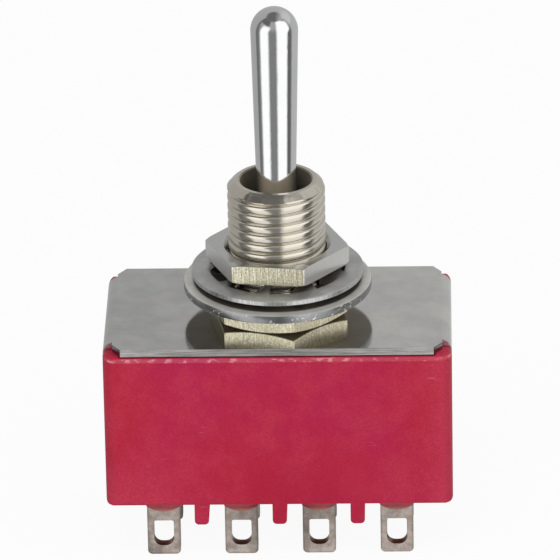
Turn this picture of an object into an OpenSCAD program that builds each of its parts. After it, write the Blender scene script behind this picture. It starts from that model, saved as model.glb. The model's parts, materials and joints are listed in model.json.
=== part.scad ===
// Panel toggle switch with four poles, two positions and solder lugs, in millimetres.
// +Z points up along the bushing, X runs along the row of poles, and -Y is the front.
// The origin is on the bushing's axis, level with the tips of the lugs.
// The lever is stored in its rearward position; it swings forward about the pivot pin.

/* [Case] */
// Width of the case along the row of poles
case_w = 22.6; // [22.4:0.1:26]
// Depth of the case from front to back
case_d = 13.1; // [12.8:0.1:16]
// Width of the case beyond its four poles
end_room = 2.28; // [2.1:0.02:3]
// Height of the case from its underside to its rim
case_h = 10.65; // [10.2:0.05:13]
// Radius of the case's upright edges
corner_r = 1; // [0.3:0.05:1.2]
// Radius of the case's rim, outside
case_rim_r = 0.35; // [0.1:0.05:0.4]
// Radius of the case's other long edges
edge_r = 0.2; // [0.1:0.05:0.35]
// Thickness of the front and back walls
wall_t = 0.9; // [0.6:0.05:1]
// Thickness of the end walls behind the flanges
end_wall_t = 0.9; // [0.6:0.05:1.1]
// Thickness of the floor that holds the terminals
floor_t = 1.4; // [1.1:0.05:1.7]
// Thickness of the partitions between the poles
partition_t = 0.8; // [0.5:0.05:1.2]
// Height of the partitions above the floor
partition_h = 2.4; // [1.6:0.1:2.9]
// Width of the ribs under the case
rib_w = 0.93; // [0.6:0.01:1.2]
// Height of the ribs under the case
rib_h = 1.36; // [0.8:0.02:1.8]
// Radius of the ribs' lower edges
rib_r = 0.28; // [0.1:0.02:0.3]

/* [Cover plate] */
// Thickness of the sheet
plate_t = 0.5; // [0.4:0.05:0.7]
// Depth of the plate from front to back
plate_d = 12.8; // [12.4:0.05:13]
// Length of the two side flanges from front to back
flange_l = 10.3; // [8:0.1:10.8]
// Height of the side flanges from the plate's top face
flange_h = 9.75; // [8:0.05:10.3]
// Inside radius of the bends
bend_r = 0.25; // [0.1:0.05:0.4]
// Width of the relief beside each corner ear
relief_w = 0.25; // [0.15:0.05:0.5]
// Cut across each corner ear along X
ear_cut_x = 0.55; // [0.2:0.05:0.9]
// Cut across each corner ear along Y
ear_cut_y = 0.85; // [0.3:0.05:1.1]
// Width of the window in each flange that catches the case
catch_w = 3; // [2:0.1:4]
// Height of that window
catch_h = 1.2; // [0.8:0.1:1.6]
// Middle of that window below the plate's top face
catch_drop = 6.4; // [5:0.1:7.5]

/* [Bushing] */
// Outside diameter of the threaded bushing
bushing_d = 6.35; // [6:0.05:6.6]
// Height of the bushing above the plate
bushing_h = 9.2; // [8:0.1:9.6]
// Diameter of the bore
bore_d = 4.68; // [4.5:0.02:4.8]
// Chamfer at the bushing's mouth
mouth_chamfer = 0.5; // [0.1:0.05:0.6]
// Width of the keyway down the back of the bushing
keyway_w = 0.8; // [0.5:0.05:1]
// Depth of that keyway
keyway_t = 0.3; // [0.2:0.02:0.4]
// Diameter of the collar under the plate
collar_d = 8.6; // [7.6:0.1:9.6]
// Thickness of that collar
collar_t = 0.6; // [0.4:0.05:0.8]

/* [Lever] */
// Depth of the pivot below the bushing's mouth
pivot_depth = 4.3; // [3.8:0.1:4.8]
// Swing of the lever to each side of upright, in degrees
lever_tilt = 12.5; // [9:0.5:13]
// Length of the lever from its pivot to its tip
lever_len = 15.35; // [12:0.05:22]
// Diameter of the lever at its domed tip
tip_d = 3.1; // [2.7:0.05:3.8]
// Diameter of the pivot pin
pin_d = 1.2; // [0.8:0.05:1.4]
// Length of the pivot pin
pin_l = 5.5; // [5.3:0.05:5.6]

/* [Carrier] */
// Depth of the carrier bar from front to back
bar_d = 2.6; // [2.4:0.1:3]
// Height of the carrier bar
bar_h = 2.6; // [2.2:0.1:3]
// Depth of the socket for the lever's tail
socket_depth = 2.1; // [1.5:0.1:2.1]
// Length of the barrels from the top of the bar
barrel_l = 4.8; // [4.4:0.1:5]
// Outside diameter of the barrels
barrel_d = 2.8; // [2.5:0.1:3]
// Thickness of the bar over each barrel
barrel_cap = 0.8; // [0.5:0.1:1.1]
// Diameter of the plungers
plunger_d = 1.8; // [1.5:0.05:1.9]
// Length of each plunger inside its barrel
plunger_grip = 1.6; // [1.2:0.1:1.8]
// Diameter of the spring wire
wire_d = 0.24; // [0.15:0.01:0.3]
// Turns of each plunger spring
spring_turns = 4.5; // [3:0.5:5]

/* [Contacts] */
// Swing of each rocker to each side of level, in degrees
rocker_tilt = 8; // [6:0.5:9]
// Thickness of the rockers
rocker_t = 0.4; // [0.3:0.05:0.5]
// Width of the rockers
rocker_w = 2.3; // [1.8:0.05:2.6]
// Half the length of the curved middle of each rocker
rocker_bow = 3.1; // [3.05:0.05:3.3]
// Half the length of each rocker
rocker_reach = 4.6; // [4.4:0.05:4.8]
// Diameter of the roll that each rocker turns on
roll_d = 0.6; // [0.4:0.05:0.7]
// Height of the rockers' axes above the case floor
fulcrum_h = 0.9; // [0.8:0.05:1.1]
// Distance of the fixed contacts from the middle row
contact_y = 4; // [3.8:0.05:4.2]
// Radius of the fixed contacts' domes
dome_r = 1; // [0.8:0.05:1.1]
// Depth of the common terminals' heads from front to back
head_d = 1.6; // [1.4:0.05:1.8]
// Thickness of the ears on each head, beside the rocker
ear_t = 0.3; // [0.2:0.05:0.35]
// Height of those ears above the rocker's axis
ear_rise = 0.6; // [0.4:0.05:0.7]

/* [Terminals] */
// Distance between the rows of lugs
row_pitch = 5; // [4.8:0.05:5.1]
// Width of the lugs
lug_w = 2.15; // [1.7:0.05:2.3]
// Thickness of the lugs
lug_t = 0.75; // [0.5:0.05:0.8]
// Length of the lugs below the case
lug_l = 4.05; // [3:0.05:6]
// Radius of the lugs' lower corners
lug_r = 0.3; // [0.1:0.05:0.6]
// Width of the wire holes
hole_w = 1.3; // [0.9:0.05:1.35]
// Height of the wire holes
hole_h = 1.8; // [1.4:0.05:2.2]
// Radius of the wire holes' lower corners
hole_low_r = 0.55; // [0.15:0.05:0.65]
// Radius of their upper corners
hole_high_r = 0.15; // [0.05:0.05:0.4]
// Metal left below each wire hole
hole_web = 0.63; // [0.4:0.01:1]
// Reach of the end terminals' feet towards the middle row
foot_reach = 1.75; // [1.6:0.05:2]
// Thickness of the end terminals' feet
foot_t = 0.75; // [0.5:0.05:0.8]
// Depth of the sealed recess under each pole
seal_depth = 0.5; // [0.3:0.05:0.7]
// Height that the sealant climbs down each lug
seal_climb = 1; // [0.3:0.05:1.2]
// Spread of the sealant around each lug
seal_spread = 0.5; // [0.2:0.05:0.6]

/* [Panel hardware] */
// Size of both nuts across their flats
nut_af = 8.2; // [7.9:0.05:9]
// Thickness of the back nut
back_nut_t = 1.6; // [1:0.05:2]
// Direction of one corner of the back nut, from the front towards +X, in degrees
back_nut_turn = 13; // [0:1:59]
// Height of the corner cuts under the back nut
back_nut_cut = 0.3; // [0.1:0.02:0.4]
// Thickness of the mounting nut
mounting_nut_t = 1.28; // [1:0.02:1.6]
// Height of the other corner cuts on both nuts
nut_cut = 0.1; // [0.05:0.01:0.2]
// Depth of the countersinks in both nuts
nut_sink = 0.3; // [0.1:0.05:0.4]
// Direction of one corner of the mounting nut, from the front towards +X, in degrees
mounting_nut_turn = 22.5; // [0:0.5:59]
// Outside diameter of the locating ring
ring_d = 12.25; // [10:0.05:13]
// Thickness of the locating ring
ring_t = 0.58; // [0.4:0.02:0.8]
// Height of the locating tab above the ring
tab_h = 1.2; // [0.8:0.1:2]
// Width of the locating tab
tab_w = 1.8; // [1:0.1:2.5]
// Outside diameter of the lock washer
washer_d = 11.2; // [9.6:0.05:11.2]
// Width of the lock washer's rim
washer_rim = 1.22; // [0.8:0.02:1.4]
// Thickness of the lock washer
washer_t = 0.36; // [0.25:0.01:0.45]
// Number of teeth inside the lock washer
tooth_count = 9; // [7:1:10]
// Width of each tooth
tooth_w = 1.4; // [1:0.05:1.5]
// Twist of each tooth, in degrees
tooth_twist = 45; // [20:1:50]
// Direction of the first tooth, from the front towards +X, in degrees
tooth_turn = 26; // [0:1:39]

/* [Hidden] */
$fn = 96;
POLES = 4;

// Distance between neighbouring poles
pole_pitch = (case_w - end_room) / POLES;

// Clearances: a push fit, a turning fit, a hand fit, a guided slide, parts that pass each other,
// and the lever's stop
push_gap = 0.01;
turn_gap = 0.03;
hand_gap = 0.05;
slide_gap = 0.04;
swing_gap = 0.3;
stop_gap = 0.05;
// The plungers stop this far short of the rockers, and the rockers this far short of the contacts
touch_gap = 0.05;
contact_gap = 0.03;

// Levels, from the lug tips up
case_z = lug_l;
floor_z = case_z + floor_t;
rim_z = case_z + case_h;
plate_z = rim_z + plate_t;
mouth_z = plate_z + bushing_h;
pivot_z = mouth_z - pivot_depth;
collar_z = rim_z - collar_t;
fulcrum_z = floor_z + fulcrum_h;

// The lever: its neck and tail just clear the bore at full tilt
neck_r = (bore_d / 2 - stop_gap - pivot_depth * tan(lever_tilt)) * cos(lever_tilt);
tail_r = (bore_d / 2 - stop_gap - (pivot_z - collar_z) * tan(lever_tilt)) * cos(lever_tilt);
ball_r = bore_d / 2 - 2 * slide_gap;

// The carrier, measured down from the pivot with the lever upright
bar_drop = (pivot_z - collar_z + swing_gap + bar_d / 2 * sin(lever_tilt)) / cos(lever_tilt);
barrel_drop = bar_drop + barrel_l;
tip_drop = pivot_z - fulcrum_z - rocker_t - touch_gap;
plunger_r = plunger_d / 2;
barrel_bore_r = plunger_r + turn_gap;
spring_l = barrel_l - barrel_cap - plunger_grip;
coil_r = barrel_bore_r - wire_d / 2 - slide_gap;

// The rocker's bow follows the path of a plunger's tip as lever and rocker turn opposite ways
turn_ratio = rocker_tilt / lever_tilt;
tip_swing = tip_drop - plunger_r;
fulcrum_drop = pivot_z - fulcrum_z;
path_run = tip_swing * (1 + turn_ratio) - fulcrum_drop * turn_ratio;
path_rise = tip_swing * pow(1 + turn_ratio, 2) - fulcrum_drop * pow(turn_ratio, 2);
bow_r = pow(path_run, 2) / path_rise + plunger_r + touch_gap;
wing_z = bow_r + rocker_t - sqrt(pow(bow_r + rocker_t, 2) - pow(rocker_bow, 2));

// The fixed contacts' domes touch the rockers' wings, but for the contact gap
dome_z = fulcrum_z
    + (wing_z - dome_r - contact_gap - contact_y * sin(rocker_tilt)) / cos(rocker_tilt);

// The panel hardware, from the plate up
ring_z = plate_z + back_nut_t;
ring_top = ring_z + ring_t;
tooth_rise = (tooth_w * sin(tooth_twist) + washer_t * cos(tooth_twist)) / 2;
washer_mid = ring_top + tooth_rise;
mounting_nut_z = washer_mid + tooth_rise;
hardware_r = bushing_d / 2 + hand_gap;
nut_cut_angle = 23;

function pole_x(i) = (i - (POLES + 1) / 2) * pole_pitch;

// A rectangle with four round corners, centred
module rounded_rect(w, d, r) {
    square([w - 2 * r, d], center = true);
    square([w, d - 2 * r], center = true);
    for (x = [-1, 1], y = [-1, 1])
        translate([x * (w / 2 - r), y * (d / 2 - r)]) circle(r);
}

// An upright section that stands on y = 0, with its own radii below and above
module wall_section(w, h, low_r, high_r) {
    translate([-w / 2, low_r]) square([w, h - low_r - high_r]);
    for (end = [[low_r, low_r], [high_r, h - high_r]]) {
        translate([-w / 2 + end[0], end[1] - end[0]]) square([w - 2 * end[0], 2 * end[0]]);
        for (x = [-1, 1]) translate([x * (w / 2 - end[0]), end[1]]) circle(end[0]);
    }
}

// Children drawn in X and Z, and run along Y or X
module along_y(l) { rotate([90, 0, 0]) translate([0, 0, -l / 2]) linear_extrude(l) children(); }
module along_x(l) { rotate([90, 0, 90]) translate([0, 0, -l / 2]) linear_extrude(l) children(); }

// Children that swing with the lever, in its stored position
module on_lever() {
    translate([0, 0, pivot_z]) rotate([-lever_tilt, 0, 0]) children();
}

// Children drawn about a rocker's axis, in its stored position
module on_rocker(i) {
    translate([pole_x(i), 0, fulcrum_z]) rotate([rocker_tilt, 0, 0]) children();
}

module at_each_lug() {
    for (i = [1:POLES], row = [-1:1]) translate([pole_x(i), row * row_pitch, 0]) children();
}

module case_block() {
    intersection() {
        translate([0, 0, case_z]) linear_extrude(case_h) rounded_rect(case_w, case_d, corner_r);
        translate([0, 0, case_z]) along_y(case_d) wall_section(case_w, case_h, edge_r, case_rim_r);
        translate([0, 0, case_z]) along_x(case_w) wall_section(case_d, case_h, edge_r, case_rim_r);
    }
}

// The space that the cover plate's flanges take from the case, with round upper inner edges
module flange_room() {
    l = flange_l + 2 * hand_gap;
    inner_w = case_w - 2 * (plate_t + hand_gap);
    h = flange_h - plate_t + hand_gap;
    difference() {
        translate([-case_w, -l / 2, rim_z - h]) cube([2 * case_w, l, 2 * h]);
        translate([0, 0, case_z - 1])
            along_y(case_d) wall_section(inner_w, case_h + 1, edge_r, bend_r + hand_gap);
    }
}

module seal_room() {
    depth = 2 * (row_pitch + lug_t / 2 + seal_spread);
    translate([-(pole_pitch - rib_w) / 2 + hand_gap, -depth / 2, case_z])
        cube([pole_pitch - rib_w - 2 * hand_gap, depth, seal_depth]);
}

module lug_slot() {
    w = lug_w + 2 * turn_gap;
    t = lug_t + 2 * turn_gap;
    translate([-w / 2, -t / 2, 0]) cube([w, t, rim_z]);
}

module case() {
    cavity_w = case_w - 2 * (plate_t + hand_gap + end_wall_t);
    cavity_d = case_d - 2 * wall_t;
    color([0.67, 0.14, 0.21]) difference() {
        union() {
            difference() {
                case_block();
                flange_room();
                translate([-cavity_w / 2, -cavity_d / 2, floor_z]) cube([cavity_w, cavity_d, case_h]);
            }
            for (i = [1:POLES - 1]) {
                x = (pole_x(i) + pole_x(i + 1)) / 2;
                translate([x - partition_t / 2, -cavity_d / 2, floor_z])
                    cube([partition_t, cavity_d, partition_h]);
                translate([x, 0, case_z - rib_h]) along_y(case_d)
                    wall_section(rib_w, rib_h + floor_t / 2, rib_r, edge_r);
            }
            for (side = [-1, 1]) catch_wedge(side);
        }
        for (i = [1:POLES]) translate([pole_x(i), 0, 0]) seal_room();
        at_each_lug() lug_slot();
    }
}

// A wedge on the end wall that snaps into the flange's window
module catch_wedge(side) {
    face_x = case_w / 2 - plate_t - hand_gap;
    low = plate_z - catch_drop - catch_h / 2 + hand_gap;
    high = low + catch_h - 2 * hand_gap;
    reach = plate_t - hand_gap;
    lead_in = reach / 4;
    mirror([side < 0 ? 1 : 0, 0, 0]) along_y(catch_w - 2 * hand_gap)
        polygon([[face_x - end_wall_t / 2, low], [face_x + reach, low],
                 [face_x + lead_in, high], [face_x - end_wall_t / 2, high]]);
}

module plate_outline() {
    w = case_w / 2 - plate_t - relief_w / 2;
    d = plate_d / 2;
    polygon([[w, -d + ear_cut_y], [w, d - ear_cut_y], [w - ear_cut_x, d], [-w + ear_cut_x, d],
             [-w, d - ear_cut_y], [-w, -d + ear_cut_y], [-w + ear_cut_x, -d], [w - ear_cut_x, -d]]);
}

// Section of the plate where it turns down into a flange on the +X side
module flange_section() {
    outer_r = bend_r + plate_t;
    corner_x = case_w / 2 - outer_r;
    corner_z = plate_z - outer_r;
    difference() {
        union() {
            translate([corner_x, corner_z]) circle(outer_r);
            translate([0, corner_z]) square([corner_x, outer_r]);
            translate([0, plate_z - flange_h]) square([case_w / 2, flange_h - outer_r]);
        }
        translate([corner_x, corner_z]) circle(bend_r);
        translate([-1, plate_z - flange_h - 1]) square([corner_x + 1, flange_h + 1 - plate_t]);
        translate([-1, plate_z - flange_h - 1])
            square([case_w / 2 - plate_t + 1, flange_h + 1 - outer_r]);
    }
}

module cover_plate() {
    relief_l = (plate_d - flange_l) / 2;
    window_low = plate_z - catch_drop - catch_h / 2;
    color([0.62, 0.62, 0.6]) difference() {
        union() {
            translate([0, 0, rim_z]) linear_extrude(plate_t) plate_outline();
            for (side = [0, 1]) mirror([side, 0, 0]) along_y(flange_l) flange_section();
        }
        cylinder(d = bushing_d + 2 * turn_gap, h = 2 * mouth_z);
        translate([-case_w, -catch_w / 2, window_low]) cube([2 * case_w, catch_w, catch_h]);
    }
}

module bushing() {
    color([0.72, 0.68, 0.6]) difference() {
        union() {
            translate([0, 0, collar_z]) cylinder(d = collar_d, h = collar_t);
            translate([0, 0, collar_z]) cylinder(d = bushing_d, h = mouth_z - mouth_chamfer - collar_z);
            translate([0, 0, mouth_z - mouth_chamfer])
                cylinder(d1 = bushing_d, d2 = bushing_d - 2 * mouth_chamfer, h = mouth_chamfer);
        }
        cylinder(d = bore_d, h = 2 * mouth_z);
        translate([-keyway_w / 2, bushing_d / 2 - keyway_t, plate_z])
            cube([keyway_w, bushing_d, bushing_h + 1]);
        pin_grooves();
    }
}

// Two grooves inside the bushing: the pin rises in them and turns at their round upper ends
module pin_grooves() {
    reach = pin_l / 2 + turn_gap;
    groove_r = pin_d / 2 + turn_gap;
    translate([-reach, 0, pivot_z]) rotate([0, 90, 0]) cylinder(r = groove_r, h = 2 * reach);
    translate([-reach, -groove_r, collar_z - 1])
        cube([2 * reach, 2 * groove_r, pivot_z - collar_z + 1]);
}

module toggle_lever() {
    cone_h = lever_len - tip_d / 2 - pivot_depth;
    color([0.8, 0.8, 0.82]) on_lever() difference() {
        union() {
            translate([0, 0, lever_len - tip_d / 2]) sphere(d = tip_d);
            translate([0, 0, pivot_depth]) cylinder(r1 = neck_r, d2 = tip_d, h = cone_h);
            cylinder(r = neck_r, h = pivot_depth);
            sphere(ball_r);
            translate([0, 0, -bar_drop - socket_depth])
                cylinder(r = tail_r, h = bar_drop + socket_depth);
        }
        translate([-ball_r, 0, 0]) rotate([0, 90, 0])
            cylinder(r = pin_d / 2 + push_gap, h = 2 * ball_r);
    }
}

module pivot_pin() {
    color([0.6, 0.6, 0.62]) on_lever()
        translate([-pin_l / 2, 0, 0]) rotate([0, 90, 0]) cylinder(d = pin_d, h = pin_l);
}

module actuator_carrier() {
    bar_w = (POLES - 1) * pole_pitch;
    color([0.92, 0.9, 0.84]) on_lever() difference() {
        union() {
            translate([-bar_w / 2, -bar_d / 2, -bar_drop - bar_h]) cube([bar_w, bar_d, bar_h]);
            for (i = [1:POLES]) translate([pole_x(i), 0, -barrel_drop])
                cylinder(d = barrel_d, h = barrel_l);
        }
        for (i = [1:POLES]) translate([pole_x(i), 0, -barrel_drop - 1])
            cylinder(r = barrel_bore_r, h = barrel_l - barrel_cap + 1);
        translate([0, 0, -bar_drop - socket_depth - turn_gap])
            cylinder(r = tail_r + turn_gap, h = socket_depth + 1);
    }
}

// A wire of round section wound upwards, as one closed tube
module coil(radius, wire_r, length, turns) {
    sides = 8;
    steps = 20;
    n = round(turns * steps);
    rise = length - 2 * wire_r;
    lead = atan2(rise / turns, 2 * PI * radius);
    points = [for (i = [0:n], j = [0:sides - 1])
        let (a = 360 * i / steps, b = 360 * j / sides, r = radius + wire_r * cos(b))
        [r * cos(a) + wire_r * sin(b) * sin(lead) * sin(a),
         r * sin(a) - wire_r * sin(b) * sin(lead) * cos(a),
         wire_r + rise * i / n + wire_r * sin(b) * cos(lead)]];
    walls = [for (i = [0:n - 1], j = [0:sides - 1])
        let (k = (j + 1) % sides)
        [i * sides + j, i * sides + k, (i + 1) * sides + k, (i + 1) * sides + j]];
    ends = [[for (j = [sides - 1:-1:0]) j], [for (j = [0:sides - 1]) n * sides + j]];
    polyhedron(points, concat(walls, ends));
}

module plunger_spring(i) {
    color([0.75, 0.75, 0.76]) on_lever()
        translate([pole_x(i), 0, -bar_drop - barrel_cap - spring_l + slide_gap])
        coil(coil_r, wire_d / 2, spring_l - 2 * slide_gap, spring_turns);
}

module plunger(i) {
    color([0.88, 0.86, 0.8]) on_lever() translate([pole_x(i), 0, 0]) {
        translate([0, 0, -tip_drop + plunger_r])
            cylinder(r = plunger_r, h = tip_drop - plunger_r - barrel_drop + plunger_grip);
        translate([0, 0, -tip_drop + plunger_r]) sphere(plunger_r);
    }
}

// Bowed in the middle, with a flat wing at each end and a roll to turn on
module rocker_contact(i) {
    color([0.83, 0.8, 0.74]) on_rocker(i) {
        along_x(rocker_w) {
            intersection() {
                translate([0, bow_r + rocker_t]) difference() {
                    circle(bow_r + rocker_t);
                    circle(bow_r);
                }
                translate([-rocker_bow, 0]) square([2 * rocker_bow, bow_r]);
            }
            for (side = [0, 1]) mirror([side, 0])
                translate([rocker_bow - rocker_t / 2, wing_z])
                square([rocker_reach - rocker_bow + rocker_t / 2, rocker_t]);
        }
        rotate([0, 90, 0]) cylinder(d = roll_d, h = rocker_w, center = true);
    }
}

// A lug below the floor, up to the given level
module lug(top_z) {
    low_r = min(hole_low_r, hole_w / 2 - push_gap);
    along_y(lug_t) difference() {
        wall_section(lug_w, top_z, lug_r, edge_r);
        translate([0, hole_web]) wall_section(hole_w, hole_h, low_r, hole_high_r);
    }
}

module end_terminal(i, row) {
    inner_y = row_pitch - lug_t / 2 - foot_reach;
    color([0.66, 0.62, 0.56]) translate([pole_x(i), 0, 0]) mirror([0, row < 0 ? 1 : 0, 0]) {
        translate([0, row_pitch, 0]) lug(floor_z + foot_t / 2);
        translate([-lug_w / 2, inner_y, floor_z])
            cube([lug_w, foot_reach + lug_t, foot_t]);
        intersection() {
            translate([0, contact_y, dome_z]) sphere(dome_r);
            translate([-lug_w / 2, inner_y, floor_z + foot_t / 2])
                cube([lug_w, foot_reach + lug_t, foot_t + dome_r]);
        }
    }
}

// The middle lug carries a grooved head for the rocker's roll, between two ears
module common_terminal(i) {
    head_w = rocker_w + 2 * slide_gap + 2 * ear_t;
    groove_r = roll_d / 2 + turn_gap;
    head_top = fulcrum_z - groove_r / 2;
    lug_top = fulcrum_z - 2 * groove_r;
    color([0.66, 0.62, 0.56]) translate([pole_x(i), 0, 0]) {
        lug(lug_top);
        difference() {
            union() {
                translate([-head_w / 2, -head_d / 2, floor_z])
                    cube([head_w, head_d, head_top - floor_z]);
                for (side = [0, 1]) mirror([side, 0, 0])
                    translate([head_w / 2 - ear_t, -head_d / 2, floor_z])
                    cube([ear_t, head_d, fulcrum_h + ear_rise]);
            }
            translate([0, 0, fulcrum_z]) rotate([0, 90, 0])
                cylinder(r = groove_r, h = rocker_w + 2 * slide_gap, center = true);
        }
    }
}

// The sealant below the case's underside, from the front: its lower edge is an arc across the lug
module seal_front() {
    half_w = lug_w / 2 + seal_spread;
    arc_r = (pow(half_w, 2) + pow(seal_climb, 2)) / (2 * seal_climb);
    intersection() {
        translate([0, arc_r - seal_climb]) circle(arc_r);
        translate([-half_w, -seal_climb]) square([2 * half_w, seal_climb]);
    }
}

// The same from the side: it thins down to a film around the lug's slot
module seal_side() {
    foot = lug_t / 2 + seal_spread;
    film = lug_t / 2 + turn_gap + push_gap;
    polygon([[-foot, 0], [-film, -seal_climb], [-film, -2 * seal_climb],
             [film, -2 * seal_climb], [film, -seal_climb], [foot, 0]]);
}

// Hardened sealant that fills the recess and climbs a little way down each lug
module terminal_seal(i) {
    color([0.6, 0.17, 0.2]) translate([pole_x(i), 0, 0]) difference() {
        union() {
            seal_room();
            for (row = [-1:1]) translate([0, row * row_pitch, case_z]) intersection() {
                along_y(pole_pitch) seal_front();
                along_x(pole_pitch) seal_side();
            }
        }
        for (row = [-1:1]) translate([0, row * row_pitch, 0]) lug_slot();
    }
}

// A hexagonal nut on z = 0, its corners cut back in a cone below and above
module nut(thickness, turn, low_cut, high_cut) {
    tip_r = nut_af / sqrt(3);
    rotate([0, 0, turn - 90]) difference() {
        cylinder(r = tip_r, h = thickness, $fn = 6);
        cylinder(r = hardware_r, h = 3 * thickness, center = true);
        for (end = [[0, low_cut], [1, high_cut]]) {
            cut = end[1];
            run = cut / tan(nut_cut_angle);
            translate([0, 0, end[0] * thickness]) mirror([0, 0, end[0]]) {
                rotate_extrude() polygon([[tip_r - run, -1], [tip_r + 1, -1], [tip_r + 1, cut],
                                          [tip_r, cut], [tip_r - run, 0]]);
                cylinder(r1 = hardware_r + nut_sink, r2 = hardware_r, h = nut_sink);
            }
        }
    }
}

module back_nut() {
    color([0.8, 0.76, 0.66]) translate([0, 0, plate_z])
        nut(back_nut_t, back_nut_turn, back_nut_cut, nut_cut);
}

module mounting_nut() {
    color([0.74, 0.72, 0.64]) translate([0, 0, mounting_nut_z])
        nut(mounting_nut_t, mounting_nut_turn, nut_cut, nut_cut);
}

module locating_ring() {
    key_w = keyway_w - 2 * hand_gap;
    key_y = bushing_d / 2 - keyway_t + hand_gap;
    color([0.58, 0.57, 0.54]) translate([0, 0, ring_z]) {
        difference() {
            cylinder(d = ring_d, h = ring_t);
            cylinder(r = hardware_r, h = 3 * ring_t, center = true);
        }
        translate([-key_w / 2, key_y, 0]) cube([key_w, keyway_t + ring_t, ring_t]);
        intersection() {
            cylinder(d = ring_d, h = ring_t + tab_h);
            translate([-tab_w / 2, washer_d / 2 + hand_gap, 0])
                cube([tab_w, ring_d, ring_t + tab_h]);
        }
    }
}

module lock_washer() {
    rim_r = washer_d / 2 - washer_rim;
    tooth_root = washer_rim / 4;
    tooth_l = rim_r - hardware_r + tooth_root;
    color([0.56, 0.56, 0.55]) translate([0, 0, washer_mid]) {
        translate([0, 0, -washer_t / 2]) difference() {
            cylinder(d = washer_d, h = washer_t);
            translate([0, 0, -1]) cylinder(r = rim_r, h = washer_t + 2);
        }
        for (i = [0:tooth_count - 1]) rotate([0, 0, tooth_turn - 90 + i * 360 / tooth_count])
            translate([hardware_r + tooth_l / 2, 0, 0]) rotate([tooth_twist, 0, 0])
            cube([tooth_l, tooth_w, washer_t], center = true);
    }
}

case();
cover_plate();
bushing();
toggle_lever();
pivot_pin();
actuator_carrier();
for (i = [1:POLES]) {
    plunger_spring(i);
    plunger(i);
    rocker_contact(i);
    end_terminal(i, -1);
    common_terminal(i);
    end_terminal(i, 1);
    terminal_seal(i);
}
back_nut();
locating_ring();
lock_washer();
mounting_nut();
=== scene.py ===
import json
import math

import bmesh
import bpy
from mathutils import Matrix, Vector


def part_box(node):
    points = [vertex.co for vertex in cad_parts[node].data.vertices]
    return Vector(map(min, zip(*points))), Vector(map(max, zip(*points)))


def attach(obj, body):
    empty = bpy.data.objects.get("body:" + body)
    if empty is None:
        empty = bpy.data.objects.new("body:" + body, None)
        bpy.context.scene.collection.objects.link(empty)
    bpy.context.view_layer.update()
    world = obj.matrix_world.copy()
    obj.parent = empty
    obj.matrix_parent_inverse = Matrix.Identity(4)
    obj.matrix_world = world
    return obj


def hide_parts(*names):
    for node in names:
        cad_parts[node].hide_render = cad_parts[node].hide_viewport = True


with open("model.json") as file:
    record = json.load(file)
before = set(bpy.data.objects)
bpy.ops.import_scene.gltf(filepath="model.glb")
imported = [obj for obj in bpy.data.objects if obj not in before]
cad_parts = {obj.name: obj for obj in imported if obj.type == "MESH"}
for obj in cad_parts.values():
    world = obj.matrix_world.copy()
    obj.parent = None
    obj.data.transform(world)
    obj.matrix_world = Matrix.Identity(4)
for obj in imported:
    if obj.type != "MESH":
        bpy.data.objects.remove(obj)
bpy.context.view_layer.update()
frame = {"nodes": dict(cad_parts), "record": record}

MM = 0.001


def low(node):
    """The lowest corner of a solid's box, in millimetres."""
    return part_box(node)[0] / MM


def high(node):
    """The highest corner of a solid's box, in millimetres."""
    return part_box(node)[1] / MM


# ---------------------------------------------------------------- sizes, in millimetres
POLES = range(1, 5)
ROWS = ("front", "common", "rear")
POLE_PITCH = low("front_terminal_2").x - low("front_terminal_1").x
ROW_PITCH = 5
LUG_LOW = low("front_terminal_1").z
LUG_W = 2.15
LUG_T = 0.75
CASE_H = 10.65
CASE_TOP = high("case").z
LUG_TOP = CASE_TOP - CASE_H
PLATE_TOP = high("cover_plate").z

BUSHING_R = 3.175
BORE_R = 2.34
MOUTH = high("bushing").z
MOUTH_CHAMFER = 0.5
COLLAR_R = high("bushing").x
COLLAR_LOW = low("bushing").z
THREAD_PITCH = 0.67
THREAD_DEPTH = 0.18
THREAD_SHARPNESS = 3.6

NUT_GAP = 0.05
NUT_BORE_R = BUSHING_R + NUT_GAP
NUT_FLAT_R = 4.1
NUT_SINK = 0.3
NUT_CUT_SLOPE = math.tan(math.radians(23))
WASHER_R = 5.6
WASHER_RIM = 1.22
WASHER_T = 0.36
TOOTH_COUNT = 9
TOOTH_W = 1.4
RING_LOW = low("locating_ring").z

PIVOT_DEPTH = 4.3
PIVOT = MOUTH - PIVOT_DEPTH
PIN_R = 0.61
LEVER_TILT = math.radians(12.5)


# ---------------------------------------------------------------- mesh helpers
def settled(bm):
    """Doubles merged and faces turned outwards."""
    bmesh.ops.remove_doubles(bm, verts=bm.verts, dist=0.0002)
    bmesh.ops.recalc_face_normals(bm, faces=bm.faces)
    return bm


def arc(centre_r, centre_z, radius, start, end, steps):
    """Points of a profile on an arc, between two angles in degrees."""
    angles = [math.radians(start + (end - start) * i / steps) for i in range(steps + 1)]
    return [(centre_r + radius * math.cos(a), centre_z + radius * math.sin(a)) for a in angles]


def turned(profile, steps, closed=True):
    """A profile of (radius, height) points spun once round the Z axis."""
    bm = bmesh.new()
    points = [bm.verts.new((r, 0, z)) for r, z in profile]
    ends = points[1:] + points[:1] if closed else points[1:]
    lines = [bm.edges.new(pair) for pair in zip(points, ends)]
    bmesh.ops.spin(bm, geom=points + lines, cent=(0, 0, 0), axis=(0, 0, 1), dvec=(0, 0, 0),
                   angle=math.tau, steps=steps, use_merge=True)
    return settled(bm)


def block(size, segments=1):
    """A box round the origin, cut across its X length into segments."""
    bm = bmesh.new()
    bmesh.ops.create_cube(bm, size=1)
    lengthwise = [e for e in bm.edges if abs(e.verts[0].co.x - e.verts[1].co.x) > 0.5]
    if segments > 1:
        bmesh.ops.subdivide_edges(bm, edges=lengthwise, cuts=segments - 1, use_grid_fill=True)
    bmesh.ops.scale(bm, vec=size, verts=bm.verts)
    return bm


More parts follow.
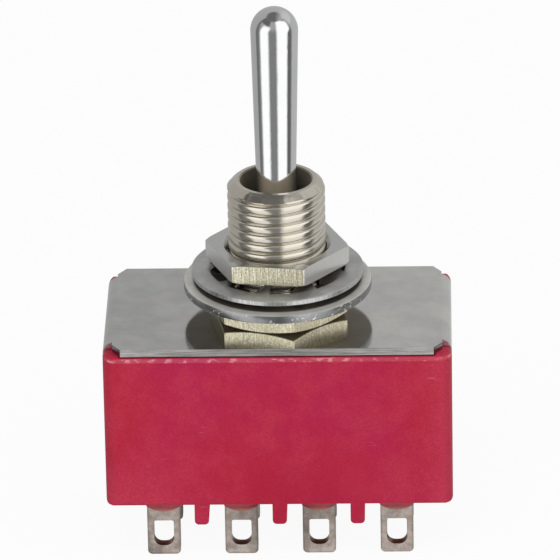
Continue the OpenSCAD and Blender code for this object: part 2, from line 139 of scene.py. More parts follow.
def add(bm, part, place):
    """Adds a copy of part to bm, moved by a matrix."""
    mesh = bpy.data.meshes.new("part")
    part.to_mesh(mesh)
    mesh.transform(place)
    bm.from_mesh(mesh)
    bpy.data.meshes.remove(mesh)


def rounded(bm, width, below):
    """Edges sharper than 30 degrees get a small round, as far up as a level."""
    sharp = [e for e in bm.edges if len(e.link_faces) == 2 and e.calc_face_angle() > math.radians(30)
             and max(v.co.z for v in e.verts) < below]
    bmesh.ops.bevel(bm, geom=sharp, offset=width, offset_type="OFFSET", segments=2, profile=0.5,
                    affect="EDGES", material=-1, clamp_overlap=True)
    return bm


def solid_copy(node):
    """A merged copy of a solid's own mesh, in millimetres."""
    bm = bmesh.new()
    bm.from_mesh(frame["nodes"][node].data)
    bmesh.ops.scale(bm, vec=(1 / MM,) * 3, verts=bm.verts)
    bmesh.ops.remove_doubles(bm, verts=bm.verts, dist=0.0005)
    bmesh.ops.dissolve_limit(bm, angle_limit=math.radians(0.6), verts=bm.verts, edges=bm.edges)
    return bm


def piece(bm, name, body, nodes, finish, sharp=32):
    """Makes bm a finished piece that rides on a body and stands for the given nodes."""
    bmesh.ops.scale(bm, vec=(MM,) * 3, verts=bm.verts)
    mesh = bpy.data.meshes.new(name)
    bm.to_mesh(mesh)
    bm.free()
    mesh.shade_smooth()
    mesh.set_sharp_from_angle(angle=math.radians(sharp))
    mesh.materials.append(finish)
    obj = bpy.data.objects.new(name, mesh)
    bpy.context.scene.collection.objects.link(obj)
    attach(obj, body)
    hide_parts(*nodes)
    return obj


def smoothstep(value, start, end):
    """0 at the start and 1 at the end, with a level run at both."""
    t = min(1, max(0, (value - start) / (end - start)))
    return t * t * (3 - 2 * t)


# ---------------------------------------------------------------- shader helpers
class Wire:
    """An output socket that takes part in Python expressions."""

    def __init__(self, finish, socket):
        self.finish = finish
        self.socket = socket

    def _both(self, operation, a, b):
        if any(isinstance(w, Wire) and w.socket.type == "VECTOR" for w in (a, b)):
            pair = [w if isinstance(w, (Wire, tuple)) else (w,) * 3 for w in (a, b)]
            return self.finish.node("ShaderNodeVectorMath", {"operation": operation}, pair)
        return self.finish.node("ShaderNodeMath", {"operation": operation}, (a, b))

    def __add__(self, other):
        return self._both("ADD", self, other)

    def __sub__(self, other):
        return self._both("SUBTRACT", self, other)

    def __mul__(self, other):
        return self._both("MULTIPLY", self, other)

    def __truediv__(self, other):
        return self._both("DIVIDE", self, other)

    def __gt__(self, other):
        return self._both("GREATER_THAN", self, other)

    def __lt__(self, other):
        return self._both("LESS_THAN", self, other)

    def __rsub__(self, other):
        return self._both("SUBTRACT", other, self)

    def __rtruediv__(self, other):
        return self._both("DIVIDE", other, self)

    __radd__ = __add__
    __rmul__ = __mul__

    def __abs__(self):
        return self.finish.node("ShaderNodeMath", {"operation": "ABSOLUTE"}, (self,))

    def part(self, axis):
        """One component of a vector."""
        return self.finish.node("ShaderNodeSeparateXYZ", {}, (self,), output="XYZ"[axis])

    def most(self, other):
        """The larger of two values."""
        return self._both("MAXIMUM", self, other)

    def ramp(self, start, end, low=0, high=1):
        """From low to high in a smooth step, as this value goes from start to end."""
        sockets = {"Value": self, "From Min": start, "From Max": end, "To Min": low, "To Max": high}
        return self.finish.node("ShaderNodeMapRange", {"interpolation_type": "SMOOTHSTEP"}, sockets,
                                output="Result")

    def blend(self, first, second):
        """A colour that goes from first to second as this value goes from 0 to 1."""
        return self.finish.node("ShaderNodeMix", {"data_type": "RGBA"}, {0: self, 6: first, 7: second},
                                output=2)


class Finish:
    """A material, or another shader tree, under construction."""

    def __init__(self, name="", tree=None):
        if tree is None:
            self.material = bpy.data.materials.new(name)
            self.material.use_nodes = True
            tree = self.material.node_tree
            self.shader = tree.nodes["Principled BSDF"]
        self.tree = tree

    def node(self, kind, settings, sockets=(), output=0):
        """A node with its settings and its sockets' values or links; gives the wire of one output."""
        made = self.tree.nodes.new(kind)
        for key, value in settings.items():
            setattr(made, key, value)
        pairs = sockets.items() if isinstance(sockets, dict) else enumerate(sockets)
        for key, value in pairs:
            self.join(value, made.inputs[key])
        return Wire(self, made.outputs[output])

    def join(self, value, socket):
        """Links a wire to a socket, or sets the socket to a plain value."""
        if isinstance(value, Wire):
            self.tree.links.new(value.socket, socket)
        elif isinstance(value, tuple) and socket.type == "RGBA":
            socket.default_value = (*value, 1)
        else:
            socket.default_value = value

    def place(self, stretch=(1, 1, 1)):
        """The point on the piece in millimetres, stretched along each axis."""
        at = self.node("ShaderNodeTexCoord", {}, output="Object")
        return at * tuple(s / MM for s in stretch)

    def noise(self, scale, detail=3, roughness=0.55, stretch=(1, 1, 1)):
        """Soft noise from 0 to 1, with so many grains to the millimetre."""
        sockets = {"Vector": self.place(stretch), "Scale": scale, "Detail": detail, "Roughness": roughness}
        return self.node("ShaderNodeTexNoise", {}, sockets, output="Fac")

    def radius(self):
        """Distance from the upright axis in millimetres."""
        from_axis = self.place((1, 1, 0))
        return self.node("ShaderNodeVectorMath", {"operation": "LENGTH"}, (from_axis,), output="Value")

    def facing(self):
        """The surface's own direction."""
        return self.node("ShaderNodeNewGeometry", {}, output="Normal")

    def bump(self, height, strength, depth):
        """Relief of a depth in millimetres."""
        sockets = {"Height": height, "Strength": strength, "Distance": depth * MM}
        normal = self.node("ShaderNodeBump", {}, sockets, output="Normal")
        self.join(normal, self.shader.inputs["Normal"])

    def set(self, **values):
        """Values or links of the shader's sockets, by a short name; gives the material."""
        names = {"base": "Base Color", "roughness": "Roughness", "metallic": "Metallic",
                 "coat": "Coat Weight", "specular": "Specular IOR Level"}
        for key, value in values.items():
            self.join(value, self.shader.inputs[names[key]])
        return self.material


def band(value, start, end, soft):
    """1 between start and end, with soft edges."""
    return value.ramp(start - soft, start + soft) * value.ramp(end + soft, end - soft)


# ---------------------------------------------------------------- finishes
def lever_chrome():
    """Bright chrome with faint scratches and a barely wavy face."""
    f = Finish("lever_chrome")
    wave = f.noise(0.9, detail=2)
    pits = f.noise(9, detail=4, stretch=(1, 1, 0.5))
    scratch = f.noise(7, detail=2, stretch=(1, 1, 0.12)).ramp(0.62, 0.72)
    f.bump(wave * 0.9 + pits * 0.16 + scratch * 0.14, 0.5, 0.012)
    tone = f.noise(0.6).blend((0.72, 0.73, 0.74), (0.79, 0.79, 0.78))
    return f.set(base=tone, metallic=1, roughness=0.05 + 0.06 * pits)


def bushing_nickel():
    """Warm nickel plate, bright on the thread and dull down the bore, with painted light on the bore's
    front wall and painted shade on its rear wall.
    """
    f = Finish("bushing_nickel")
    grain = f.noise(11, detail=4)
    patches = f.noise(0.8, detail=3)
    bore = f.radius().ramp(BORE_R + 0.11, BORE_R + 0.06)
    f.bump(grain * 0.2 + patches * 0.3, 0.55, 0.02)
    tone = patches.blend((0.64, 0.6, 0.52), (0.74, 0.7, 0.61))
    # Painted light and shade: the bore's front wall, which faces the back, is lighter, and its rear wall,
    # which faces the front, is darker.
    inside = f.facing().part(1).ramp(-0.5, 0.5).blend((0.27, 0.25, 0.2), (0.85, 0.74, 0.58))
    tone = bore.blend(tone, inside)
    return f.set(base=tone, metallic=1 - 0.35 * bore, roughness=0.1 + 0.09 * grain + 0.4 * bore)


def nut_nickel():
    """Nickel over brass: grey on top, dull below, thin and yellow in front and on the lower nut."""
    f = Finish("nut_nickel")
    facing = f.facing()
    upright = abs(facing.part(2)).ramp(0.8, 0.35)
    in_front = facing.part(1).ramp(-0.86, -0.95)
    below_ring = f.place().part(2).ramp(RING_LOW + 0.05, RING_LOW - 0.05)
    thin = in_front.most(below_ring) * upright
    grain = f.noise(11, detail=4)
    specks = f.noise(8, detail=4, roughness=0.7)
    lines = f.noise(8, detail=3, stretch=(1, 1, 0.08))
    patches = f.noise(0.8, detail=3)
    tumbled = (specks * 0.8 + lines * 1.5) * upright * (0.4 + thin)
    f.bump(tumbled + grain * 0.15 + patches * 0.3, 0.55, 0.02)
    tone = patches.blend((0.59, 0.59, 0.57), (0.67, 0.67, 0.65))
    tone = (upright * 0.8).blend(tone, (0.77, 0.76, 0.73))
    brassy = specks.ramp(0.4, 0.62).blend((0.74, 0.67, 0.46), (1, 0.98, 0.78))
    brassy = (lines.ramp(0.55, 0.7) * 0.5).blend(brassy, (1, 0.99, 0.88))
    tone = thin.blend(tone, brassy)
    under = facing.part(2) < -0.5
    tone = under.blend(tone, (0.4, 0.32, 0.2))
    return f.set(base=tone, metallic=1 - 0.75 * under, roughness=0.13 + 0.12 * grain)


def cover_steel():
    """Bright rolled sheet: soft clouds on its faces with painted light growing towards the right, a
    painted dark line on its rounded edges, and torn streaks along its sheared edges.
    """
    f = Finish("cover_steel")
    edgewise = abs(f.facing().part(1))
    cloud = f.noise(0.55, detail=4, roughness=0.6)
    lay = f.noise(9, detail=3, stretch=(0.15, 1, 1))
    stain = f.noise(0.35, detail=2).ramp(0.45, 0.65)
    # Painted light: paler towards the right, blended with the soft clouds.
    drift = cloud.ramp(0.3, 0.7) * 0.4 + f.place().part(0).ramp(-9, 9) * 0.6
    tone = drift.blend((0.53, 0.535, 0.515), (0.77, 0.76, 0.73))
    tone = (stain * 0.3).blend(tone, (0.62, 0.57, 0.57))
    sheared = edgewise.ramp(0.75, 0.95)
    # Painted shade: a dark line on the rounded edges between the faces and the sheared edges.
    corner = band(edgewise, 0.25, 0.8, 0.08)
    tear = f.noise(4, detail=4, roughness=0.7, stretch=(0.12, 1, 3))
    tone = corner.blend(tone, (0.25, 0.25, 0.245))
    tone = sheared.blend(tone, tear.ramp(0.35, 0.65).blend((0.4, 0.385, 0.37), (0.74, 0.73, 0.7)))
    f.bump(lay * 0.25 + cloud * 0.7 + sheared * tear * 2.5, 0.4, 0.012)
    return f.set(base=tone, metallic=1, roughness=0.045 + 0.06 * cloud + 0.04 * lay + 0.22 * sheared)


def ring_steel():
    """Tumbled steel: matt faces, painted shade on the top under the washer and on the faces below, with
    bright nicks round the rim.
    """
    f = Finish("ring_steel")
    upwards = f.facing().part(2)
    level = abs(upwards)
    rim = level.ramp(0.6, 0.3)
    corner = band(level, 0.45, 0.93, 0.05)
    cloud = f.noise(0.7, detail=3)
    knocked = f.noise(0.5, detail=1).ramp(0.5, 0.56)
    nick = f.noise(5, detail=4, stretch=(0.6, 0.6, 1)).ramp(0.6, 0.66) * knocked
    tone = cloud.ramp(0.3, 0.7).blend((0.62, 0.61, 0.57), (0.76, 0.74, 0.68))
    # Painted shade: the top goes dark where the washer covers it.
    tone = (f.radius().ramp(WASHER_R, WASHER_R - 0.2) * (upwards > 0.5)).blend(tone, (0.1, 0.085, 0.07))
    # Painted shade on the downward faces.
    tone = (upwards < -0.5).blend(tone, (0.42, 0.39, 0.35))
    tone = rim.blend(tone, cloud.ramp(0.4, 0.6).blend((0.27, 0.275, 0.285), (0.37, 0.37, 0.37)))
    tone = corner.most(rim * nick).blend(tone, (0.95, 0.93, 0.88))
    f.bump(cloud * 0.5 + nick * rim * 1.5, 0.4, 0.02)
    bright = rim.most(corner)
    return f.set(base=tone, metallic=0.35 + 0.65 * bright, roughness=0.4 + 0.08 * cloud - 0.18 * rim)


def washer_steel():
    """Pressed spring steel: matt faces, a streaked shorn edge, and painted shade over the teeth under the
    nut.
    """
    f = Finish("washer_steel")
    cloud = f.noise(0.8, detail=3)
    streak = f.noise(8, detail=3, stretch=(1, 1, 0.1))
    edge = abs(f.facing().part(2)).ramp(0.6, 0.3)
    # Painted shade: the teeth round the bore, under the nut, go dark.
    teeth_painted_shade = f.radius().ramp(4.6, 4.3)
    tone = cloud.ramp(0.3, 0.7).blend((0.46, 0.46, 0.45), (0.58, 0.575, 0.56))
    tone = edge.blend(tone, streak.ramp(0.35, 0.7).blend((0.5, 0.5, 0.5), (0.74, 0.74, 0.72)))
    tone = (teeth_painted_shade * 0.8).blend(tone, (0.12, 0.1, 0.085))
    f.bump(cloud * 0.5 + streak * edge * 0.5, 0.4, 0.015)
    return f.set(base=tone, metallic=0.7 + 0.3 * edge, roughness=0.33 + 0.1 * cloud - 0.1 * edge)


def moulded_case():
    """Crimson moulding: its hue drifts, paler to the lower left, with painted light down the right edge, a
    painted highlight band with pale rubs along the rim, painted shade just under the plate, and a few
    scratches lower down.
    """
    f = Finish("moulded_case")
    at = f.place()
    drift = f.noise(0.12, detail=2)
    mottle = f.noise(0.45, detail=5, roughness=0.62)
    grain = f.noise(10, detail=3)
    middle = abs(at.part(0)).ramp(10.5, 6) * at.part(2).ramp(CASE_TOP - 9, CASE_TOP - 4)
    foot = at.part(2).ramp(CASE_TOP - 6.5, CASE_TOP - 9.5)
    # Painted light down the right edge; the lower left is paler too.
    pale = at.part(0).ramp(8.8, 11).most(at.part(0).ramp(-5.5, -8) * foot)
    deep = abs(at.part(0) - 1.5).ramp(6, 2) * foot
    tone = (drift.ramp(0.35, 0.65) * 0.5 + middle * 0.5).blend((0.475, 0.019, 0.045), (0.46, 0.016, 0.086))
    tone = (mottle.ramp(0.4, 0.65) * 0.6).blend(tone, (0.53, 0.038, 0.08))
    tone = (pale * 0.5).blend(tone, (0.57, 0.05, 0.1))
    tone = (deep * 0.5).blend(tone, (0.42, 0.01, 0.045))
    tone = (grain.ramp(0.35, 0.65) * 0.4).blend(tone, (0.39, 0.003, 0.028))

    rub = f.noise(3.2, detail=4, stretch=(0.6, 1, 1)).ramp(0.52, 0.64)
    # A painted highlight band along the rounded rim under the plate, with pale rubs in it.
    rim = band(at.part(2), CASE_TOP - 0.38, CASE_TOP - 0.14, 0.04)
    marked = f.noise(0.5, detail=1).ramp(0.65, 0.74)
    scratch = f.noise(3, detail=3, stretch=(0.35, 1, 4)).ramp(0.62, 0.7) * marked
    tone = (rim * (0.1 + 0.45 * rub) + scratch * 0.2).blend(tone, (0.85, 0.42, 0.46))
    # Painted shade: a dark line on the case just under the plate's edge.
    painted_shade_under_plate = at.part(2).ramp(CASE_TOP - 0.12, CASE_TOP - 0.05) * abs(at.part(0)).ramp(10.35, 10.15)
    tone = painted_shade_under_plate.blend(tone, (0.1, 0.005, 0.008))
    f.bump(grain * 0.5 + mottle * 1.2, 0.35, 0.02)
    return f.set(base=tone, roughness=0.34 + 0.2 * mottle + 0.1 * grain, specular=0.2)


def terminal_tinned():
    """Dull tin over copper alloy, darker along its edges, with the alloy showing inside the wire holes."""
    f = Finish("terminal_tinned")
    cloud = f.noise(1.6, detail=4, roughness=0.65)
    grain = f.noise(9, detail=4)
    hue = f.noise(0.9, detail=2)
    tone = cloud.ramp(0.3, 0.7).blend((0.3, 0.255, 0.225), (0.54, 0.475, 0.43))
    tone = (hue.ramp(0.45, 0.65) * 0.35).blend(tone, (0.44, 0.33, 0.3))
    at = f.place()
    column = f.node("ShaderNodeMath", {"operation": "FRACT"}, (at.part(0) / POLE_PITCH,))
    off_centre = abs(column - 0.5) * POLE_PITCH
    # Darker along the lug's side edges and at its tip.
    darker_sides_and_tip = off_centre.ramp(0.9, 1.07).most(at.part(2).ramp(LUG_LOW + 0.16, LUG_LOW))
    tone = (darker_sides_and_tip * 0.55).blend(tone, (0.17, 0.15, 0.125))
    cut_face = abs(f.facing().part(1)).ramp(0.35, 0.15)
    tone = (cut_face * 0.75).blend(tone, (0.3, 0.17, 0.1))
    f.bump(grain * 0.7 + cloud * 0.9, 0.5, 0.02)
    return f.set(base=tone, metallic=1, roughness=0.36 + 0.16 * cloud)


def seal_epoxy():
    """Cured red resin, thinning to a brownish film at its lower edge."""
    f = Finish("seal_epoxy")
    cloud = f.noise(1.1, detail=3)
    tone = cloud.ramp(0.3, 0.7).blend((0.3, 0.012, 0.022), (0.42, 0.028, 0.04))
    film = f.place().part(2).ramp(LUG_TOP - 0.65, LUG_TOP - 0.95)
    tone = (film * 0.8).blend(tone, (0.44, 0.2, 0.16))
    f.bump(f.noise(2.4, detail=3), 0.4, 0.03)
    return f.set(base=tone, roughness=0.25 + 0.2 * cloud, coat=0.15)


def plain_metal(name, light, dark, rough, stretch):
    """Drawn or ground metal with fine lines along its length."""
    f = Finish(name)
    lines = f.noise(10, detail=3, stretch=stretch)
    f.bump(lines, 0.3, 0.01)
    return f.set(base=lines.blend(dark, light), metallic=1, roughness=rough + 0.15 * lines)


def plain_moulding(name, light, dark):
    """Pale engineering plastic with a soft moulded grain."""
    f = Finish(name)
    cloud = f.noise(0.8, detail=3)
    grain = f.noise(9, detail=3)
    f.bump(grain, 0.3, 0.015)
    return f.set(base=cloud.blend(dark, light), roughness=0.42 + 0.15 * grain)


FINISHES = {
    "lever_chrome": lever_chrome(),
    "bushing_nickel": bushing_nickel(),
    "nut_nickel": nut_nickel(),
    "cover_steel": cover_steel(),
    "ring_steel": ring_steel(),
    "washer_steel": washer_steel(),
    "moulded_case": moulded_case(),
    "terminal_tinned": terminal_tinned(),
    "seal_epoxy": seal_epoxy(),
    "pin_steel": plain_metal("pin_steel", (0.62, 0.62, 0.64), (0.5, 0.5, 0.52), 0.2, (0.1, 1, 1)),
    "spring_wire": plain_metal("spring_wire", (0.66, 0.66, 0.68), (0.5, 0.5, 0.52), 0.22, (1, 1, 1)),
    "contact_silver": plain_metal("contact_silver", (0.9, 0.88, 0.83), (0.76, 0.73, 0.67), 0.24,
                                  (1, 0.15, 1)),
    "carrier_nylon": plain_moulding("carrier_nylon", (0.86, 0.83, 0.74), (0.78, 0.75, 0.65)),
    "plunger_acetal": plain_moulding("plunger_acetal", (0.84, 0.81, 0.72), (0.76, 0.72, 0.62)),
}
NODE_SLOTS = {part["node"]: part["material_slot"] for part in frame["record"]["subparts"]}
for node, obj in frame["nodes"].items():
    obj.data.materials.clear()
    obj.data.materials.append(FINISHES[NODE_SLOTS[node]])


# ---------------------------------------------------------------- bushing
def thread_drop(angle, height):
    """Depth below the crests at an angle and a height: broad round crests over sharp roots."""
    turn = ((height - PLATE_TOP) / THREAD_PITCH - angle / math.tau) % 1
    run_out = smoothstep(height, PLATE_TOP, PLATE_TOP + 0.5)
    return THREAD_DEPTH * abs(2 * turn - 1) ** THREAD_SHARPNESS * run_out


def bushing():
    """The threaded bushing with its collar, a keyway down its back and two grooves in its bore."""
    key_half, key_y = 0.4, BUSHING_R - 0.3
    groove_r, groove_x = 0.63, 2.78
    spacing = THREAD_PITCH / 14
    rings = math.ceil((MOUTH - PLATE_TOP) / spacing)
    wall = [(BUSHING_R, PLATE_TOP + i * spacing) for i in range(rings)] + [(BUSHING_R, MOUTH - 0.001)]
    inside = [(BORE_R, MOUTH - 0.08)] + [(BORE_R, PIVOT + 0.7 - 0.07 * i) for i in range(11)]
    profile = [(BORE_R, COLLAR_LOW), (COLLAR_R - 0.06, COLLAR_LOW), (COLLAR_R, COLLAR_LOW + 0.06),
               (COLLAR_R, CASE_TOP - 0.06), (COLLAR_R - 0.06, CASE_TOP), (BUSHING_R, CASE_TOP)]
    bm = turned(profile + wall + [(BORE_R + 0.08, MOUTH)] + inside, 144)

    # Clean edges for the keyway at the back and for the two grooves inside
    for x in (-key_half, -key_half + 0.012, key_half - 0.012, key_half):
        back = [g for g in bm.faces if g.calc_center_median().y > 1]
        back += list({e for f in back for e in f.edges}) + list({v for f in back for v in f.verts})
        bmesh.ops.bisect_plane(bm, geom=back, dist=0.0001, plane_co=(x, 0, 0), plane_no=(1, 0, 0))

    for v in bm.verts:
        angle, r = math.atan2(v.co.y, v.co.x), v.co.xy.length
        if r > BUSHING_R - 0.02 and v.co.z > PLATE_TOP + 0.001 and r < BUSHING_R + 0.02:
            cone = BUSHING_R - MOUTH_CHAMFER + (MOUTH - v.co.z)
            # The rings follow the helix, so that the thread's edges run along them
            foot = smoothstep(v.co.z, PLATE_TOP, PLATE_TOP + 0.3)
            lip = smoothstep(v.co.z, MOUTH - 0.02, MOUTH - 0.2)
            v.co.z += (angle / math.tau * THREAD_PITCH) % spacing * foot * lip
            v.co.xy *= min(BUSHING_R - thread_drop(angle, v.co.z), cone) / r
            if abs(v.co.x) < key_half - 0.006 and v.co.y > 0:
                v.co.y = min(v.co.y, key_y)
        elif abs(r - BORE_R) < 0.01 and abs(v.co.y) < groove_r:
            if v.co.z < PIVOT + math.sqrt(groove_r ** 2 - v.co.y ** 2):
                v.co.x = math.copysign(groove_x, v.co.x)
    bmesh.ops.triangulate(bm, faces=bm.faces, quad_method="SHORT_EDGE", ngon_method="BEAUTY")
    return piece(bm, "bushing_threaded", "switch_body", ["bushing"],
                 FINISHES["bushing_nickel"], sharp=36)


# ---------------------------------------------------------------- nuts
def nut(name, node, corner, low_cut, high_cut):
    """A hexagonal nut whose corners are turned back in a cone, with countersunk threads."""
    base, top = low(node).z, high(node).z
    tip_r = NUT_FLAT_R / math.cos(math.pi / 6)
    low_r, high_r = tip_r - low_cut / NUT_CUT_SLOPE, tip_r - high_cut / NUT_CUT_SLOPE
    bm = turned([(NUT_BORE_R, base + NUT_SINK / 2), (NUT_BORE_R + NUT_SINK / 2, base), (low_r, base),
                 (tip_r, base + low_cut), (tip_r, top - high_cut), (high_r, top),
                 (NUT_BORE_R + NUT_SINK, top), (NUT_BORE_R, top - NUT_SINK)], 120)
    for v in bm.verts:
        r = v.co.xy.length
        side = NUT_FLAT_R / math.cos((math.atan2(v.co.y, v.co.x) % (math.pi / 3)) - math.pi / 6)
        if r > tip_r - 0.001:
            upper = v.co.z > (base + top) / 2
            edge_r, cut = (high_r, high_cut) if upper else (low_r, low_cut)
            drop = cut * max(0, side - edge_r) / (tip_r - edge_r)
            v.co.z = top - drop if upper else base + drop
            v.co.xy *= side / r
        elif r > side:
            v.co.xy *= side / r
    settled(bm)
    turn = Matrix.Rotation(math.radians(corner - 90), 3, "Z")
    bmesh.ops.rotate(bm, cent=(0, 0, 0), matrix=turn, verts=bm.verts)
    obj = piece(bm, name, "switch_body", [node], FINISHES["nut_nickel"], sharp=25)
    edge = obj.modifiers.new("edges", "BEVEL")
    edge.width, edge.segments, edge.limit_method = 0.035 * MM, 2, "ANGLE"
    edge.angle_limit = math.radians(25)
    return obj


# ---------------------------------------------------------------- lock washer and locating ring
def lock_washer():
    """A flat rim with teeth inside it, each twisted out of the rim's plane."""
    middle = (low("lock_washer").z + high("lock_washer").z) / 2
    inner_r, soft = WASHER_R - WASHER_RIM, 0.05
    base, top = middle - WASHER_T / 2, middle + WASHER_T / 2
    bm = turned([(inner_r + soft, base), (WASHER_R - soft, base), (WASHER_R, base + soft),
                 (WASHER_R, top - soft), (WASHER_R - soft, top), (inner_r + soft, top),
                 (inner_r, top - soft), (inner_r, base + soft)], 144)
    length = inner_r - NUT_BORE_R + WASHER_RIM / 4
    twist, first_tooth = math.radians(45), math.radians(26 - 90)
    tooth = block((length, TOOTH_W, WASHER_T), segments=12)
    for v in tooth.verts:
        reach = v.co.x / length + 0.5
        v.co.y *= 1 - 0.12 * (1 - reach)
        v.co = Matrix.Rotation(twist * (1 - smoothstep(reach, 0.5, 0.98)), 3, "X") @ v.co
    out = Matrix.Translation((NUT_BORE_R + length / 2, 0, middle))
    for i in range(TOOTH_COUNT):
        add(bm, tooth, Matrix.Rotation(first_tooth + i * math.tau / TOOTH_COUNT, 4, "Z") @ out)
    tooth.free()
    return piece(bm, "lock_washer_toothed", "switch_body", ["lock_washer"],
                 FINISHES["washer_steel"])


def softened(node, name, width, below=math.inf):
    """The solid's own form with small rounds along its sharp edges."""
    bm = rounded(solid_copy(node), width, below)
    obj = piece(bm, name, "switch_body", [node], FINISHES[NODE_SLOTS[node]])
    obj.modifiers.new("flat_faces", "WEIGHTED_NORMAL").keep_sharp = True
    return obj


def meniscus(bm, centre_y):
    """Resin drawn down a lug in a hollow curve: furthest in the middle of its broad faces."""
    spread, climb, rings = 0.5, 1.03, 12
    skirt = turned([(0, 1)] + [(1, 1 - i) for i in range(rings + 2)] + [(0, -rings)], 72, closed=False)
    for v in skirt.verts:
        fall, angle = max(0, -v.co.z / rings), math.atan2(v.co.y, v.co.x)
        corner = 1 / max(abs(math.cos(angle)), abs(math.sin(angle))) - 1
        squareness = min(1, 0.25 + 1.1 * fall) * corner + 1
        across = v.co.xy * squareness
        reach = spread * (1 - fall) ** 2.2 + 0.03 - 0.05 * fall ** 8
        drop = climb * fall * (1 - 0.37 * min(1, abs(across.x)) ** 2)
        v.co.xy = across.x * (LUG_W / 2 + reach), across.y * (LUG_T / 2 + reach)
        v.co.z = 0.2 if v.co.z > 0 else -drop
    settled(skirt)
    add(bm, skirt, Matrix.Translation((0, centre_y, LUG_TOP)))
    skirt.free()


def seal(i):
    """Resin poured level with the case's underside, and climbing down the three lugs of a pole."""
    node = f"terminal_seal_{i}"
    base, top = low(node), high(node)
    middle_x = (base.x + top.x) / 2
    depth = top.z - LUG_TOP
    bm = bmesh.new()
    slab = block((top.x - base.x, top.y - base.y, depth))
    add(bm, slab, Matrix.Translation((0, 0, LUG_TOP + depth / 2)))
    slab.free()
    for row in (-1, 0, 1):
        meniscus(bm, row * ROW_PITCH)
    bmesh.ops.translate(bm, vec=(middle_x, 0, 0), verts=bm.verts)
    return piece(bm, f"resin_{i}", "switch_body", [node], FINISHES["seal_epoxy"])


# ---------------------------------------------------------------- lever
def cut_away(bm, tool):
    """What is left of bm after the tool's volume is taken out of it."""
    objects = []
    for shape in (bm, tool):
        mesh = bpy.data.meshes.new("cutting")
        shape.to_mesh(mesh)
        shape.free()
        objects.append(bpy.data.objects.new("cutting", mesh))
        bpy.context.scene.collection.objects.link(objects[-1])
    boolean = objects[0].modifiers.new("cut", "BOOLEAN")
    boolean.operation, boolean.object, boolean.solver = "DIFFERENCE", objects[1], "EXACT"
    evaluated = objects[0].evaluated_get(bpy.context.evaluated_depsgraph_get())
    result = bmesh.new()
    result.from_mesh(evaluated.to_mesh())
    for obj in objects:
        mesh = obj.data
        bpy.data.objects.remove(obj)
        bpy.data.meshes.remove(mesh)
    return result


def toggle_lever():
    """The lever from its tail through the ball to the domed tip, with the pivot pin's hole."""
    tip_r, neck_r, ball_r, tail_r = 1.55, 1.305, 2.26, 0.937
    tail_low, neck, top = -8.84, 4.3, 15.35
    profile = [(0, tail_low), (tail_r, tail_low)] + arc(0, 0, ball_r, -64, 54, 30)
    profile += [(neck_r, neck)] + arc(0, top - tip_r, tip_r, 0, 90, 28)
    bm = turned(profile, 128, closed=False)
    pin_hole = bmesh.new()
    bmesh.ops.create_cone(pin_hole, cap_ends=True, segments=64, radius1=PIN_R, radius2=PIN_R,
                          depth=3 * ball_r, matrix=Matrix.Rotation(math.pi / 2, 4, "Y"))
    bm = cut_away(bm, pin_hole)
    bmesh.ops.rotate(bm, cent=(0, 0, 0), matrix=Matrix.Rotation(-LEVER_TILT, 3, "X"), verts=bm.verts)
    bmesh.ops.translate(bm, vec=(0, 0, PIVOT), verts=bm.verts)
    return piece(bm, "lever_turned", "lever", ["toggle_lever"], FINISHES["lever_chrome"])


bushing()
nut("mounting_nut_cut", "mounting_nut", 22.5, 0.1, 0.1)
nut("back_nut_cut", "back_nut", 13, 0.3, 0.1)
lock_washer()
softened("locating_ring", "locating_ring_edged", 0.09)
softened("cover_plate", "cover_plate_edged", 0.09)
softened("case", "case_moulded", 0.06)
for row in ROWS:
    for i in POLES:
        softened(f"{row}_terminal_{i}", f"{row}_lug_{i}", 0.07, below=LUG_TOP)
for i in POLES:
    seal(i)
toggle_lever()


# ---------------------------------------------------------------- camera
def camera():
    """Long lens from the front, a little to the right and 24 degrees above."""
    azimuth, elevation, roll = math.radians(1.38), math.radians(24.34), math.radians(-1.08)
    distance, target = 475.5, Vector((0.147, 0, PLATE_TOP + 1.98))
    back = Vector((math.sin(azimuth) * math.cos(elevation), -math.cos(azimuth) * math.cos(elevation),
                   math.sin(elevation)))
    right = Vector((math.cos(azimuth), math.sin(azimuth), 0))
    up = back.cross(right)
    across = math.cos(roll) * right + math.sin(roll) * up
    above = math.cos(roll) * up - math.sin(roll) * right
    data = bpy.data.cameras.new("camera")
    data.sensor_width, data.lens = 36, 468.96
    data.clip_start, data.clip_end = 0.05, 20
    obj = bpy.data.objects.new("camera", data)
    turn = Matrix((across, above, back)).transposed().to_4x4()
    obj.matrix_world = Matrix.Translation((target + back * distance) * MM) @ turn
    bpy.context.scene.collection.objects.link(obj)
    bpy.context.scene.camera = obj


# ---------------------------------------------------------------- floor and room
def covered(level, mask, new_level):
    """The level, taken to a new one where the mask is 1."""
    return level + (new_level - level) * mask


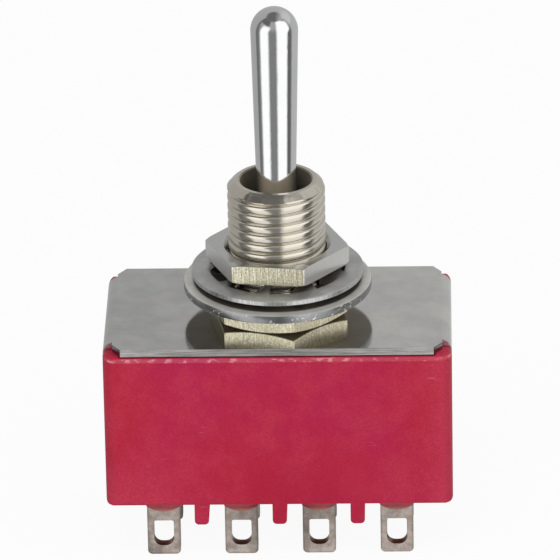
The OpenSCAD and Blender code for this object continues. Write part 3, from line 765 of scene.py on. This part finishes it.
def studio(f, way):
    """How bright the room is along a direction: azimuths run from the front to the right, in degrees."""
    to_degrees = 180 / math.pi
    across, forwards, upwards = (way.part(axis) for axis in range(3))
    azimuth = f.node("ShaderNodeMath", {"operation": "ARCTAN2"}, (across, 0 - forwards)) * to_degrees
    elevation = f.node("ShaderNodeMath", {"operation": "ARCSINE"}, (upwards,)) * to_degrees

    level = elevation.ramp(2, 32, 0.26, 0.44)
    raised = across.ramp(0.2, 0.6, 0, 0.12) * abs(elevation).ramp(18, 22)
    back_wall = across.ramp(-1, 1, 0.45, 0.55) + raised
    level = covered(level, abs(azimuth).ramp(88, 100), back_wall)
    level = covered(level, elevation.ramp(55, 66), across.ramp(0.02, 0.5, 0.16, 0.48))
    level = covered(level, band(azimuth, -94, -26, 6) * band(elevation, 37, 62, 4), 0.15)
    level = covered(level, band(azimuth, -96, -82, 5) * elevation.ramp(44, 34), 0.18)
    level = covered(level, band(azimuth, 66, 88, 5) * elevation.ramp(14, 4), 0.15)

    # The softboxes' sides aren't upright but shift with height, and they go down past the floor
    left_side = elevation.ramp(8, 28, 0, 8) + elevation.ramp(-8, -24, 0, 14)
    left_softbox = band(azimuth - left_side, -70, -27.5, 7) * elevation.ramp(38, 25)
    right_side = elevation.ramp(-9, 11, 0, 17) - elevation.ramp(40, 60, 0, 26)
    right_softbox = band(azimuth, 13, 88, 7) * (azimuth - right_side).ramp(71, 57) * elevation.ramp(63, 56)
    strength = elevation.ramp(-22, -12, 1, 1.3)
    level = covered(level, left_softbox, strength)
    return covered(level, right_softbox, strength)


def seen_directly(f):
    """1 for what the camera sees, 0 for light that the object receives."""
    return f.node("ShaderNodeLightPath", {}, output="Is Camera Ray")


def seen_in_gloss(f):
    """1 for what is seen in a reflection or through something clear."""
    glossy = f.node("ShaderNodeLightPath", {}, output="Is Glossy Ray")
    through = f.node("ShaderNodeLightPath", {}, output="Is Transmission Ray")
    return glossy.most(through)


def floor():
    """A pale round floor that keeps the object's shadow; in gloss it continues the room."""
    radius, object_middle, whiteness = 160, 20, 0.94
    bm = bmesh.new()
    bmesh.ops.create_circle(bm, cap_ends=True, segments=96, radius=radius * MM)
    mesh = bpy.data.meshes.new("floor")
    bm.to_mesh(mesh)
    bm.free()
    obj = bpy.data.objects.new("floor", mesh)
    bpy.context.scene.collection.objects.link(obj)
    f = Finish("floor_pale")
    f.set(base=(0.86, 0.86, 0.85), roughness=0.7, specular=0.1)
    from_object = f.place() - (0, 0, object_middle)
    way = f.node("ShaderNodeVectorMath", {"operation": "NORMALIZE"}, (from_object,))
    gloss = f.node("ShaderNodeEmission", {}, {"Color": studio(f, way), "Strength": 1})
    white = f.node("ShaderNodeEmission", {}, {"Color": (1, 1, 1), "Strength": 1})
    lit = Wire(f, f.shader.outputs[0])
    mixed = f.node("ShaderNodeMixShader", {}, (seen_in_gloss(f), lit, gloss))
    mixed = f.node("ShaderNodeMixShader", {}, (seen_directly(f) * whiteness, mixed, white))
    f.join(mixed, f.tree.nodes["Material Output"].inputs["Surface"])
    mesh.materials.append(f.material)


def fill_lamp():
    """Lifts the matt surfaces to a plain level; it isn't seen in gloss."""
    distance, diameter, power = 420, 300, 0.62
    data = bpy.data.lights.new("fill_lamp", "AREA")
    data.shape, data.size, data.energy = "DISK", diameter * MM, power
    obj = bpy.data.objects.new("fill_lamp", data)
    way = Vector((-0.22, -0.6, 0.77)).normalized()
    obj.location = way * distance * MM
    obj.rotation_mode = "QUATERNION"
    obj.rotation_quaternion = (-way).to_track_quat("-Z", "Y")
    obj.visible_glossy = False
    bpy.context.scene.collection.objects.link(obj)


def room():
    """White to the camera; to the object, a grey room with two large softboxes."""
    world = bpy.data.worlds.new("room")
    bpy.context.scene.world = world
    world.use_nodes = True
    f = Finish(tree=world.node_tree)
    way = f.node("ShaderNodeTexCoord", {}, output="Generated")
    shown = seen_directly(f).blend(studio(f, way), (1, 1, 1))
    f.join(shown, f.tree.nodes["Background"].inputs["Color"])
    f.join(1, f.tree.nodes["Background"].inputs["Strength"])


bpy.context.scene.view_settings.view_transform = "Standard"
camera()
floor()
room()
fill_lamp()
